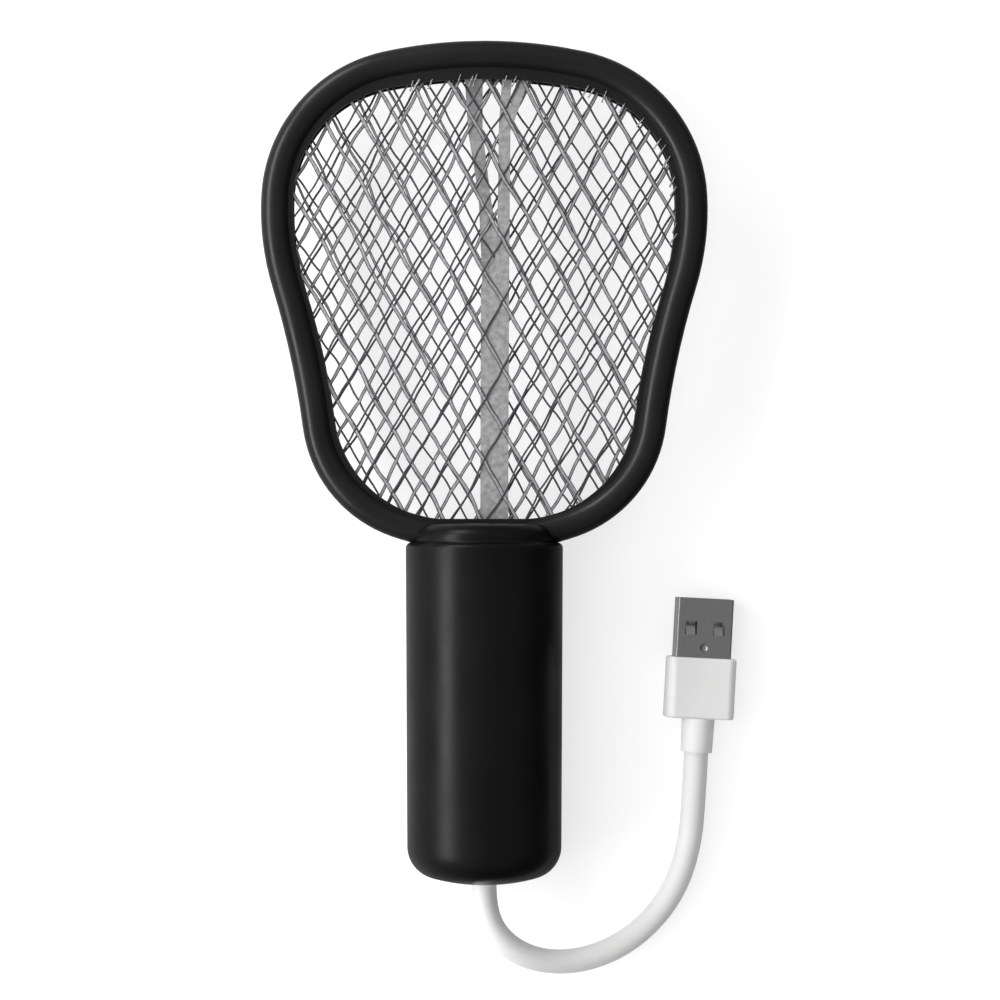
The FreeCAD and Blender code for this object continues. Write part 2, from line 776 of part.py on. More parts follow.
def make_shells():
    whole = common("handle_outer", handle_form("handle_turned"), slab("above_table", "0", "100"))
    outer = rounded_back(whole)
    cavity = common("handle_cavity", handle_form("cavity_turned", size("shell_wall")),
                    slab("above_back", "shell_wall", "100"))
    walls = cut("handle_walls", outer, cavity)
    seam = cut(
        "seam", slab("seam_slab", "axis_height - 0.5 * seam_width", "axis_height + 0.5 * seam_width"),
        handle_form("seam_core", size("seam_depth")),
    )
    cord_hole = rod("cord_hole", "cord_hole_radius", "20", ("0", "handle_end - 5", "axis_height"), "y")
    head = envelope()

    front_wall = common("front_wall", walls, slab("front_side", "axis_height", "100"))
    front_bosses = shell_bosses(
        "front_boss", ("axis_height + tang_half_depth", "axis_height"), ("60", "60"))
    limit = handle_form("boss_limit", size("boss_inset"))
    front_inside = [common(f"front_inside{i}", limit, boss) for i, boss in enumerate(front_bosses)]
    front = fuse("front_all", front_wall, *front_inside)
    pilots = screw_holes("front_pilot", "screw_shaft_radius", "10", "screw_tip + 1")
    keep("handle_front_shell", cut("handle_front_shell", front, head, seam, cord_hole, *pilots))

    rear_wall = common("rear_wall", walls, slab("rear_side", "-1", "axis_height"))
    rear_bosses = shell_bosses("rear_boss", ("0", "0"), ("axis_height - tang_half_depth", "axis_height"))
    posts = [
        rod(f"board_post{i}", "post_radius", "board_height", (f"{side} * post_x", y, "0"))
        for i, (side, y) in enumerate((s, y) for s in (-1, 1) for y in ("post_top_y", "post_end_y"))
    ]
    rear_inside = [common(f"rear_inside{i}", limit, boss) for i, boss in enumerate(rear_bosses + posts)]
    rear = fuse("rear_all", rear_wall, *rear_inside)
    seats = screw_holes("rear_seat", "screw_head_radius + 0.2", "-1", "screw_seat")
    holes = screw_holes("rear_hole", "screw_shaft_radius + 0.2", "-1", "axis_height + 1")
    post_pilots = [
        rod(f"post_pilot{i}", "post_screw_radius", "5", (f"{side} * post_x", y, "board_height - 4"))
        for i, (side, y) in enumerate((s, y) for s in (-1, 1) for y in ("post_top_y", "post_end_y"))
    ]
    panel = stadium("panel", "panel_width", "panel_end", "panel_top", "-1", "panel_depth + 1")
    button_hole = rod(
        "button_hole", "trigger_radius + trigger_clearance", "10", ("0", "trigger_y", "-1")
    )
    knob_slot = box(
        "knob_slot",
        (
            "power_width + 2 * power_clearance",
            "power_length + power_travel + 2 * power_clearance",
            "10",
        ),
        ("0", "power_y + 0.5 * power_travel", "-1"),
    )
    lamp_hole = rod("lamp_hole", "lamp_radius", "10", ("0", "lamp_y", "-1"))
    keep("handle_rear_shell", cut(
        "handle_rear_shell", rear, head, seam, cord_hole, panel, button_hole, knob_slot, lamp_hole,
        *seats, *holes, *post_pilots,
    ))


# ---------------------------------------------------------------- fasteners


def screw(name, shaft, head, head_height, seat, tip, x, y):
    """A cross-head screw with its head below seat and its point up at tip."""
    stem = rod(name + "_stem", shaft, f"{tip} - ({seat}) - 1.5 * {shaft}", (x, y, seat))
    point = DOC.addObject("Part::Cone", name + "_point")
    point.setExpression("Radius1", bound(shaft))
    point.setExpression("Radius2", bound(f"0.25 * {shaft}"))
    point.setExpression("Height", bound(f"1.5 * {shaft}"))
    bind_base(point, (x, y, f"{tip} - 1.5 * {shaft}"))
    cap = rod(name + "_cap", head, head_height, (x, y, f"{seat} - {head_height}"))
    whole = fuse(name + "_whole", stem, point, cap)
    blades = [
        box(f"{name}_blade{i}", lengths, (x, y, f"{seat} - {head_height} - 1"))
        for i, lengths in enumerate(
            [(f"1.3 * {head}", f"0.3 * {head}", f"1 + 0.5 * {head_height}"),
             (f"0.3 * {head}", f"1.3 * {head}", f"1 + 0.5 * {head_height}")]
        )
    ]
    return cut(name, whole, *blades)


def make_screws():
    handle = [
        screw(f"handle_screw{i}", "screw_shaft_radius", "screw_head_radius", "screw_head_height",
              "screw_seat", "screw_tip", f"{side} * screw_x", y)
        for i, (side, y) in enumerate((s, y) for s in (-1, 1) for y in ("neck_screw_y", "end_screw_y"))
    ]
    keep("handle_screws", group("handle_screws", handle))
    rim = [
        screw(f"rim_screw{i}", "rim_screw_shaft_radius", "rim_screw_head_radius",
              "rim_screw_head_height", "axis_height - rim_screw_seat",
              "axis_height + bead_half_depth - 4.6", p.x, p.y)
        for i, p in enumerate(rim_screw_places())
    ]
    keep("rim_screws", group("rim_screws", rim))
    board = []
    for i, (side, y) in enumerate((s, y) for s in (-1, 1) for y in ("post_top_y", "post_end_y")):
        top = "board_height + board_thickness"
        head = rod(f"board_screw_head{i}", "post_screw_head_radius", "post_screw_head_height",
                   (f"{side} * post_x", y, top))
        stem = rod(f"board_screw_stem{i}", "post_screw_radius", "board_thickness + 3.5",
                   (f"{side} * post_x", y, "board_height - 3.5"))
        slot = box(f"board_screw_slot{i}", ("4", "0.6", "1"),
                   (f"{side} * post_x", y, f"{top} + post_screw_head_height - 0.6"))
        board.append(cut(f"board_screw{i}", fuse(f"board_screw_whole{i}", head, stem), slot))
    keep("board_screws", group("board_screws", board))


# ---------------------------------------------------------------- controls in the back


def make_trigger():
    """Round push button, its switch, the plunger between them and the return spring."""
    body = new_body("trigger_button", ("0", "trigger_y", "cap_standoff"))
    sketch = new_sketch(body, "XY_Plane")
    draw_circle(sketch, "trigger_radius")
    crown = pad(body, sketch, "shell_wall - cap_standoff + 0.1")
    crown = round_edges(body, crown, "0.7", lambda e: abs(e.BoundBox.ZMax) < 1e-6)
    sketch = new_sketch(body, "XY_Plane", "shell_wall - cap_standoff + 0.1")
    draw_circle(sketch, "trigger_flange_radius")
    pad(body, sketch, "1")

    body = new_body("trigger_plunger", ("0", "trigger_y", "shell_wall + 1.1"))
    sketch = new_sketch(body, "XY_Plane")
    draw_circle(sketch, "1.7")
    pad(body, sketch, "3.8")

    case = box("trigger_switch_case", ("9", "9", "board_height - 5.4"), ("0", "trigger_y", "5.4"))
    bore = rod("trigger_switch_bore", "1.9", "1.9 + trigger_travel", ("0", "trigger_y", "5.3"))
    keep("trigger_switch", cut("trigger_switch", case, bore))

    low, turns, radius, wire = size("shell_wall") + 1.1, 3, 3.2, 0.25
    helix = Part.makeHelix((5.4 - low - 2 * wire) / turns, 5.4 - low - 2 * wire, radius)
    ring = Part.Wire(Part.makeCircle(wire, Vector(radius, 0, 0), Vector(0, 1, 0)))
    coil = Part.Wire(helix).makePipeShell([ring], True, True)
    spring = shape_of("trigger_spring", coil)
    bind_base(spring, ("0", "trigger_y", f"shell_wall + 1.1 + {wire}"))
    keep("trigger_spring", spring)


def make_power_switch():
    """Ribbed slide knob, the slide switch on the board and the lever that joins them."""
    body = new_body("power_knob", ("0", "power_y", "cap_standoff"))
    sketch = new_sketch(body, "XY_Plane")
    draw_rectangle(sketch, "power_width", "power_length")
    crown = pad(body, sketch, "shell_wall - cap_standoff + 0.1")
    sketch = new_sketch(body, "XY_Plane", "shell_wall - cap_standoff + 0.1")
    draw_rectangle(sketch, "power_width + 4", "power_length + 2 * power_travel + 1")
    plate = pad(body, sketch, "0.9")
    DOC.recompute()
    sketch = new_sketch(body, "XY_Plane")
    draw_rectangle(sketch, "power_width + 2", "0.6")
    sketch.setExpression("AttachmentOffset.Base.y", bound("-0.33 * power_length"))
    groove = pocket(body, sketch, "0.35", reverse=True)
    DOC.recompute()
    rows = body.newObject("PartDesign::LinearPattern", "power_knob_grooves")
    rows.Originals = [groove]
    rows.Direction = (sketch, ["V_Axis"])
    rows.setExpression("Length", bound("0.66 * power_length"))
    rows.Occurrences = 4
    body.Tip = rows

    lever = box("power_lever", ("1.6", "1.6", "3.6"), ("0", "power_y", "shell_wall + 1"))
    keep("power_lever", lever)
    case = box("power_switch_case", ("6", "11", "board_height - 5.4"),
               ("0", "power_y + 0.5 * power_travel", "5.4"))
    slot = box("power_switch_slot", ("2", "power_travel + 2.2", "2.4"),
               ("0", "power_y + 0.5 * power_travel", "5.3"))
    keep("power_switch", cut("power_switch", case, slot))


def make_lamp():
    """Charge lamp: a clear lens in the panel, and the diode behind it."""
    body = new_body("lamp_lens", ("0", "lamp_y", "0"))
    sketch = new_sketch(body, "XZ_Plane")
    draw_polygon(sketch, [
        ("0", "panel_depth + 0.1"), ("lamp_radius", "panel_depth + 0.1"), ("lamp_radius", "shell_wall"),
        ("lamp_radius + 0.8", "shell_wall"), ("lamp_radius + 0.8", "shell_wall + 0.8"),
        ("0", "shell_wall + 0.8"),
    ])
    revolve(body, sketch)
    body = new_body("lamp_diode", ("0", "lamp_y", "shell_wall + 1.2"))
    sketch = new_sketch(body, "XY_Plane")
    draw_circle(sketch, "1.5")
    pad(body, sketch, "board_height - shell_wall - 1.2")


# ---------------------------------------------------------------- inside the handle


def make_board():
    board = box("board_plate", ("board_width", "board_top - board_end", "board_thickness"),
                ("0", "0.5 * (board_top + board_end)", "board_height"))
    holes = [
        rod(f"board_hole{i}", "post_screw_radius + 0.1", "10", (f"{side} * post_x", y, "5"))
        for i, (side, y) in enumerate((s, y) for s in (-1, 1) for y in ("post_top_y", "post_end_y"))
    ]
    keep("circuit_board", cut("circuit_board", board, *holes))


def make_cell():
    """Lithium cell with its raised pole, a welded strip at each end and the cradle under it."""
    body = new_body("battery_cell", ("0", "cell_middle_y", "cell_height"))
    sketch = new_sketch(body, "XY_Plane")
    draw_polygon(sketch, [
        ("0", "-0.5 * cell_length"), ("cell_radius", "-0.5 * cell_length"),
        ("cell_radius", "0.5 * cell_length - 1.2"), ("cell_radius - 0.8", "0.5 * cell_length - 0.4"),
        ("3.2", "0.5 * cell_length - 0.4"), ("3.2", "0.5 * cell_length"), ("0", "0.5 * cell_length"),
    ])
    revolve(body, sketch)
    for label, side in (("battery_strip_top", 1), ("battery_strip_end", -1)):
        lay = f"cell_middle_y + {side} * (0.5 * cell_length + 0.1)"
        keep(label, box(label, ("5", "0.2", "cell_radius + 3"), ("0", lay, "cell_height - cell_radius")))
    tray = box("cradle_tray", ("cradle_width", "cell_length - 4", "cradle_height"),
               ("0", "cell_middle_y", "cell_height - cell_radius - 1.2"))
    bed = rod("cradle_bed", "cell_radius", "cell_length + 2",
              ("0", "cell_middle_y - 0.5 * cell_length - 1", "cell_height"), "y")
    legs = [
        box(f"cradle_leg{i}", ("2", "2", "cell_height - cell_radius - board_height - board_thickness"),
            (f"{sx} * (0.5 * cradle_width - 1)", f"cell_middle_y + {sy} * (0.5 * cell_length - 6)",
             "board_height + board_thickness"))
        for i, (sx, sy) in enumerate((a, b) for a in (-1, 1) for b in (-1, 1))
    ]
    keep("battery_cradle", cut("battery_cradle", fuse("cradle_all", tray, *legs), bed))


def make_components():
    """The step-up circuit on the board: transformer, capacitors, diodes, resistors and chips."""
    floor = "board_height + board_thickness"
    core = box("core_block", ("7", "14", "10"), ("-9.5", "-68", floor))
    window = box("core_window", ("8", "8", "6"), ("-9.5", "-68", f"{floor} + 2"))
    keep("transformer_core", cut("transformer_core", core, window))
    winding = box("winding_block", ("10.4", "7.8", "5.8"), ("-9.5", "-68", f"{floor} + 2.1"))
    keep("transformer_winding", winding)
    film = new_body("high_voltage_capacitor", ("7.5", "-69", floor))
    sketch = new_sketch(film, "XY_Plane")
    draw_rectangle(sketch, "8", "17")
    block = pad(film, sketch, "9.4")
    round_edges(film, block, "1.2", lambda e: e.BoundBox.ZLength < 1e-6 and e.BoundBox.ZMin > 1)
    discs = [
        rod(f"disc{i}", "3.4", "2.4", (x, y, f"{floor} + 4"), "x")
        for i, (x, y) in enumerate([("-10", "-82"), ("-2", "-82"), ("6", "-82")])
    ]
    keep("ladder_capacitors", group("ladder_capacitors", discs))
    diodes = [
        rod(f"diode{i}", "1.3", "5", (f"{-13 + 6 * i}", "-93", f"{floor} + 1.4"), "y")
        for i in range(4)
    ]
    keep("ladder_diodes", group("ladder_diodes", diodes))
    resistors = [
        rod(f"resistor{i}", "1.0", "6", (f"{-13 + 5 * i}", "-103", f"{floor} + 1.1"), "y")
        for i in range(3)
    ]
    keep("bleed_resistors", group("bleed_resistors", resistors))
    can = rod("transistor_round", "2.4", "4.6", ("9", "-99", f"{floor} + 1.5"))
    face = box("transistor_face", ("6", "3", "10"), ("9", "-102.6", floor))
    keep("drive_transistor", cut("drive_transistor", can, face))
    keep("charge_chip", box("charge_chip", ("4", "5", "1.5"), ("5", "-109.5", floor)))


def tube(points, radius):
    """A round tube along straight runs joined by tangent arcs, as large as each pair of runs allows."""
    points = [Vector(*p) for p in points]
    edges, at, radii = [], points[0], []
    for before, corner, after in zip(points, points[1:], points[2:]):
        back, ahead = (before - corner), (after - corner)
        shorter = min(back.Length, ahead.Length)
        back.normalize()
        ahead.normalize()
        reach = 0.45 * shorter
        turn = math.pi - back.getAngle(ahead)
        bend = reach / math.tan(0.5 * turn)
        radii.append(bend)
        start, end = corner + back * reach, corner + ahead * reach
        inward = (back + ahead).normalize()
        middle = corner + inward * (math.hypot(bend, reach) - bend)
        edges.append(Part.LineSegment(at, start).toShape())
        edges.append(Part.Arc(start, middle, end).toShape())
        at = end
    edges.append(Part.LineSegment(at, points[-1]).toShape())
    path = Part.Wire(edges)
    ring = Part.Wire(Part.makeCircle(radius, points[0], points[1] - points[0]))
    return path.makePipeShell([ring], True, False), path.Length, radii


def make_wires():
    """Insulated leads: nets to board, cell to board, and the cord's cores to the board."""
    floor = size("board_height") + size("board_thickness")
    axis, spacing = size("axis_height"), size("net_spacing")
    leads = []
    for x, level in ((-3.4, 1), (0.0, 0), (3.4, -1)):
        duct_z = axis + 0.6 * level * spacing - 0.3
        route = [
            (x, -27.5, axis + level * spacing), (x, -29.2, duct_z), (x, -51.0, duct_z),
            (1.6 * x, -55.0, floor + 3.5), (1.6 * x, -55.0, floor),
        ]
        leads.append(tube(route, 0.6)[0])
    keep("net_leads", shape_of("net_leads", Part.makeCompound(leads)))
    cell_y, half = size("cell_middle_y"), 0.5 * size("cell_length")
    strip_z = size("cell_height") + 2.0
    cell_leads = []
    for side, x in ((1, 15.5), (-1, 12.4)):
        y = cell_y + side * (half + 0.9)
        foot_y = y - side * 7.0
        route = [(2.6, y, strip_z), (11.0, y, strip_z - 1.0), (x, foot_y, 22.0), (x, foot_y, floor)]
        cell_leads.append(tube(route, 0.6)[0])
    keep("battery_leads", shape_of("battery_leads", Part.makeCompound(cell_leads)))
    cores = []
    for x in (-1.8, 1.8):
        route = [
            (x, -127.0, axis), (x, -123.6, axis),
            (2.0 * x, -116.6, floor + 4.0), (2.0 * x, -116.6, floor),
        ]
        cores.append(tube(route, 0.6)[0])
    keep("cord_cores", shape_of("cord_cores", Part.makeCompound(cores)))


# ---------------------------------------------------------------- cord and plug


def make_cord():
    body = new_body("cord_gland", ("0", "handle_end", "axis_height"))
    sketch = new_sketch(body, "XY_Plane")
    inner_face = "shell_wall + 0.6"
    draw_polygon(sketch, [
        ("cord_radius", "0.2"), ("cord_hole_radius", "0.2"), ("cord_hole_radius", inner_face),
        ("gland_flange_radius", inner_face),
        ("gland_flange_radius", f"{inner_face} + gland_flange_thickness"),
        ("cord_radius", f"{inner_face} + gland_flange_thickness"),
    ])
    revolve(body, sketch)

    body = new_body("cord_tail", ("0", "handle_end + 0.2", "axis_height"))
    sketch = new_sketch(body, "XZ_Plane")
    draw_circle(sketch, "cord_radius")
    tail = pad(body, sketch, "17.4")
    tail.Reversed = True

    body = new_body("cord_retainer", ("0", "handle_end", "axis_height"))
    sketch = new_sketch(body, "XY_Plane")
    low = f"{inner_face} + gland_flange_thickness"
    draw_polygon(sketch, [
        ("cord_radius", low), ("cord_radius + 2.2", low), ("cord_radius + 2.2", f"{low} + 3.6"),
        ("cord_radius", f"{low} + 3.6"),
    ])
    revolve(body, sketch)

    free, length, radii = tube(CORD_ROUTE, size("cord_radius"))
    print(f"cord: {length:.1f} mm long, bend radii", [round(r, 1) for r in radii],
          f"volume ratio {free.Volume / (math.pi * size('cord_radius') ** 2 * length):.4f}")
    keep("usb_cord", shape_of("usb_cord", free))


def plug_rotation():
    """Turns a plug drawn along +Z, with its width along X, to lie on the table along the cord's end."""
    lie = Rotation(Vector(1, 0, 0), -90)
    run = Vector(*CORD_ROUTE[-1]) - Vector(*CORD_ROUTE[-2])
    heading = Rotation(Vector(0, 1, 0), run)
    roll = Rotation(Vector(0, 1, 0), size("plug_roll"))
    return heading.multiply(roll).multiply(lie)


def plug_place(ahead):
    """Where the plug's own axes lie, at a distance ahead of the collar's entry."""
    rotation = plug_rotation()
    return Placement(Vector(*CORD_ROUTE[-1]) + rotation.multVec(Vector(0, 0, value(ahead))), rotation)


def plug_body(label, ahead):
    """A body whose own +Z runs along the plug and whose own -Y points up."""
    body = DOC.addObject("PartDesign::Body", label)
    body.Placement = plug_place(ahead)
    return body


def make_grip():
    """The tapered collar that the cord enters, and the moulded grip."""
    body = plug_body("plug_collar", "0")
    sketch = new_sketch(body, "XZ_Plane")
    draw_polygon(sketch, [
        ("0", "0"), ("collar_entry_radius", "0"), ("collar_root_radius", "collar_length"),
        ("0", "collar_length"),
    ])
    revolve(body, sketch)
    keep("plug_collar", body)

    body = plug_body("plug_grip", "collar_length")
    sketch = new_sketch(body, "XY_Plane")
    draw_rectangle(sketch, "grip_width", "grip_thickness")
    block = pad(body, sketch, "grip_length")
    sides = round_edges(body, block, "grip_corner", lambda e: e.BoundBox.ZLength > 1)
    round_edges(body, sides, "0.8", lambda e: e.BoundBox.ZLength < 1e-6)
    keep("plug_grip", body)


def shell_tube():
    """The folded steel tube of the plug, with two windows in each wide face."""
    body = plug_body("plug_shell_tube", "collar_length + grip_length")
    sketch = new_sketch(body, "XY_Plane")
    draw_rectangle(sketch, "shell_width", "shell_thickness")
    block = pad(body, sketch, "shell_length")
    block = round_edges(body, block, "0.7", lambda e: e.BoundBox.ZLength > 1)
    sketch = new_sketch(body, "XY_Plane")
    draw_rectangle(sketch, "shell_width - 2 * shell_sheet", "shell_thickness - 2 * shell_sheet")
    DOC.recompute()
    pocket(body, sketch, "shell_length + 1", reverse=True)
    for side in (-1, 1):
        sketch = new_sketch(body, "XZ_Plane")
        draw_rectangle(sketch, "shell_window", "shell_window_length")
        sketch.setExpression("AttachmentOffset.Base.x", bound(f"{side} * 0.25 * shell_width"))
        sketch.setExpression("AttachmentOffset.Base.y", bound("0.5 * shell_length"))
        DOC.recompute()
        window = pocket(body, sketch, "20")
        window.Midplane = True
    return body


def in_plug(obj, ahead, local):
    """Places obj by a placement in the plug's own axes."""
    obj.Placement = plug_place(ahead).multiply(local)
    return obj


def make_shell():
    """The steel tube with a sloping tab in each upper window and a round dimple below them."""
    root = "collar_length + grip_length"
    face = -0.5 * size("shell_thickness")
    tabs = []
    for side in (-1, 1):
        tab = DOC.addObject("Part::Box", f"plug_tab{len(tabs)}")
        tab_sides = (("Length", "tab_width"), ("Width", "tab_thickness"), ("Height", "tab_length"))
        for prop, alias in tab_sides:
            tab.setExpression(prop, bound(alias))
        corner = Vector(
            0.25 * side * size("shell_width") - 0.5 * size("tab_width"),
            face + 0.2,
            0.5 * (size("shell_length") - size("shell_window_length")) - 0.2,
        )
        slope = Rotation(Vector(1, 0, 0), -size("tab_slope"))
        tabs.append(in_plug(tab, root, Placement(corner, slope)))
    centre = Vector(0, face - size("dimple_centre_height"), size("dimple_ahead"))
    balls = []
    ball_radii = {"dimple_inner": "dimple_radius", "dimple_outer": "dimple_radius + dimple_sheet"}
    for name, radius in ball_radii.items():
        ball = DOC.addObject("Part::Sphere", name)
        ball.setExpression("Radius", bound(radius))
        balls.append(in_plug(ball, root, Placement(centre, Rotation())))
    inside = DOC.addObject("Part::Box", "dimple_limit")
    for prop in ("Length", "Width", "Height"):
        inside.setExpression(prop, bound("4 * dimple_radius"))
    corner = centre - Vector(2 * size("dimple_radius"), -size("dimple_centre_height") - 0.1,
                             2 * size("dimple_radius"))
    in_plug(inside, root, Placement(corner, Rotation()))
    cup = common("dimple_cup", balls[1], inside)
    keep("plug_shell", cut("plug_shell", fuse("plug_shell_whole", shell_tube(), cup, *tabs), balls[0]))


def make_tongue():
    """The insulating tongue along the lower wall of the shell, and its four contacts."""
    body = plug_body("plug_tongue", "collar_length + grip_length")
    sketch = new_sketch(body, "XY_Plane", "0")
    draw_rectangle(sketch, "shell_width - 2 * shell_sheet - 0.4", "2.4")
    sketch.setExpression("AttachmentOffset.Base.y", bound("0.5 * shell_thickness - shell_sheet - 1.2"))
    pad(body, sketch, "shell_length - 0.8")
    keep("plug_tongue", body)

    body = plug_body("plug_contacts", "collar_length + grip_length")
    sketch = new_sketch(body, "XY_Plane")
    draw_rectangle(sketch, "1.6", "0.3")
    sketch.setExpression("AttachmentOffset.Base.x", bound("-0.3 * shell_width"))
    sketch.setExpression("AttachmentOffset.Base.y", bound("0.5 * shell_thickness - shell_sheet - 2.55"))
    first = pad(body, sketch, "shell_length - 3")
    DOC.recompute()
    row = body.newObject("PartDesign::LinearPattern", "plug_contact_row")
    row.Originals = [first]
    row.Direction = (sketch, ["H_Axis"])
    row.setExpression("Length", bound("0.6 * shell_width"))
    row.Occurrences = 4
    body.Tip = row
    keep("plug_contacts", body)


# ---------------------------------------------------------------- build and write


def check_and_write():
    DOC.recompute()
    broken = [o.Label for o in DOC.Objects if {"Invalid", "Error"} & set(o.State)]
    for obj in PARTS:
        if obj.Shape.isNull() or not obj.Shape.isValid() or not obj.Shape.Solids:
            broken.append(obj.Label)
        elif min(solid.Volume for solid in obj.Shape.Solids) <= 0:
            broken.append(obj.Label)
    if broken:
        raise RuntimeError(f"these did not build: {sorted(set(broken))}")
    os.makedirs("parts", exist_ok=True)
    for obj in PARTS:
        obj.Shape.exportStep(os.path.join("parts", obj.Label + ".step"))
        print(f"{obj.Label}: {len(obj.Shape.Solids)} solids, {obj.Shape.Volume:.1f} mm3")


def main():
    make_frames()
    make_head_stack()
    make_ribs()
    make_shells()
    make_screws()
    make_trigger()
    make_power_switch()
    make_lamp()
    make_board()
    make_cell()
    make_components()
    make_wires()
    make_cord()
    make_grip()
    make_shell()
    make_tongue()
    check_and_write()


main()
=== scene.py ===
"""Looks of the electric fly swatter: wire nets, cord, materials, studio light and camera.

Metres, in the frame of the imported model: +Y towards the head, +Z out of the front face.
"""

import json
import math
import random

import bpy
import numpy as np
from mathutils import Euler, Matrix, Vector


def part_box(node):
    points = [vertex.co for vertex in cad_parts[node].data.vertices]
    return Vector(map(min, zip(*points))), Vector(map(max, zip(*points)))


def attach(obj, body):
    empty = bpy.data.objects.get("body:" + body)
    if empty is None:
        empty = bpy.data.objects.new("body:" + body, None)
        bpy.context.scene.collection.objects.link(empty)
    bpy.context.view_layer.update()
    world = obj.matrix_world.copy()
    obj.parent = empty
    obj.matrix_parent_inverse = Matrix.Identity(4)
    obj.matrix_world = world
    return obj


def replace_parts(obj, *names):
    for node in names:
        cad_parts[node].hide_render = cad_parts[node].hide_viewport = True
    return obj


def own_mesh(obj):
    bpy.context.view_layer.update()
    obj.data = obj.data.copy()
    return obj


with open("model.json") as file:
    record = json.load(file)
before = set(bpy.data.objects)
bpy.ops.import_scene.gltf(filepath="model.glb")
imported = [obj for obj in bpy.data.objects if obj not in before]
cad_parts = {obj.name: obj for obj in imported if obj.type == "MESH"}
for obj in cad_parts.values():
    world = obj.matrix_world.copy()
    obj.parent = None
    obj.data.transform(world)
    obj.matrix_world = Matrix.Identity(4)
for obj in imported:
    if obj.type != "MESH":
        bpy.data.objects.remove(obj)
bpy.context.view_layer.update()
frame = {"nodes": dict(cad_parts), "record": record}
NODES = frame["nodes"]

# The head: about the middle of its opening, the height of the rim's middle, and the lip over it.
HEAD_CENTRE = Vector((0.0, 0.056))
AXIS_HEIGHT = 0.0212
LIP_TOP_ABOVE_AXIS = 0.00465

# A net's lattice: the width and height of a diamond, the rows and columns of knots, which are
# half a diamond apart in height, and the points along a strand from one knot to the next.
NET_PITCH = Vector((0.0126, 0.022))
KNOT_ROWS = range(-12, 20)
KNOT_COLUMNS = range(-9, 10)
STEPS_PER_KNOT = 8

# A strand: half its thickness, how far it bows sideways and weaves up and down, how far each
# direction lies above or below the net's middle, and how far inside the ring it ends.
STRAND_HALF_THICKNESS = 0.00013
STRAND_BOW = 0.00022
STRAND_WEAVE = 0.00016
LEAN_LIFT = 0.00008
NET_MARGIN = 0.0006

# For each net its seed, its shift and turn in degrees, and the strands that lean right (1) and
# left (-1): half their width, how much they swell towards the knots, and whether they have flats.
# Strands without flats are drawn all over in the dark painted shade of the edges.
NETS = {
    "net_front": (1, (0.0, 0.0), 0.0, {1: (0.00033, 0.1, False), -1: (0.00064, 0.2, True)}),
    "net_middle": (2, (0.0063, 0.0006), 1.3, {1: (0.00056, 0.2, True), -1: (0.00034, 0.1, False)}),
    "net_rear": (3, (0.0013, -0.0010), -1.1, {1: (0.00036, 0.2, False), -1: (0.00044, 0.2, True)}),
}

# The cut ends over the lip: how many on each side of the middle and how far apart. Then the points
# along one, as distances from the lip's edge with shares of the climb onto the lip, the share at
# its tip, and how far above the lip a full climb ends.
WIRE_END_COUNT = 14
WIRE_END_PITCH = 0.0063
WIRE_END_CLIMB = ((-0.0026, 0.0), (-0.0014, 0.35), (-0.0004, 0.9), (0.0004, 1.15))
WIRE_END_HEIGHT = 1.1
WIRE_END_LIFT = 0.0002

# How brightly the studio shines from the left, from the head's end, from above and from below.
LEFT_GLOW = 0.78
HEAD_GLOW = 0.35
TOP_GLOW = 0.4
LOW_GLOW = 0.2

# The camera: what it looks at, how far above the rim's middle it is, and how wide it sees there.
VIEW_CENTRE = Vector((0.0054, -0.0131))
VIEW_HEIGHT = 1.2
VIEW_WIDTH = 0.345

# The free cord, from the gland at the handle's end to the plug's collar.
CORD_DIAMETER = 0.0084
CORD_ROUTE = [
    (0.0, -0.1454, 0.0212),
    (0.0, -0.1534, 0.0212),
    (0.0038, -0.1630, 0.0204),
    (0.0122, -0.1704, 0.0174),
    (0.0236, -0.1738, 0.0134),
    (0.0364, -0.1730, 0.0096),
    (0.0492, -0.1678, 0.0066),
    (0.0602, -0.1584, 0.0050),
    (0.0680, -0.1462, 0.0046),
    (0.0720, -0.1316, 0.0050),
    (0.0731, -0.1157, 0.0070),
    (0.0739, -0.1010, 0.0070),
]


# ---------------------------------------------------------------- materials


def greys(dark, light):
    """Two neutral colours."""
    return (dark,) * 3, (light,) * 3


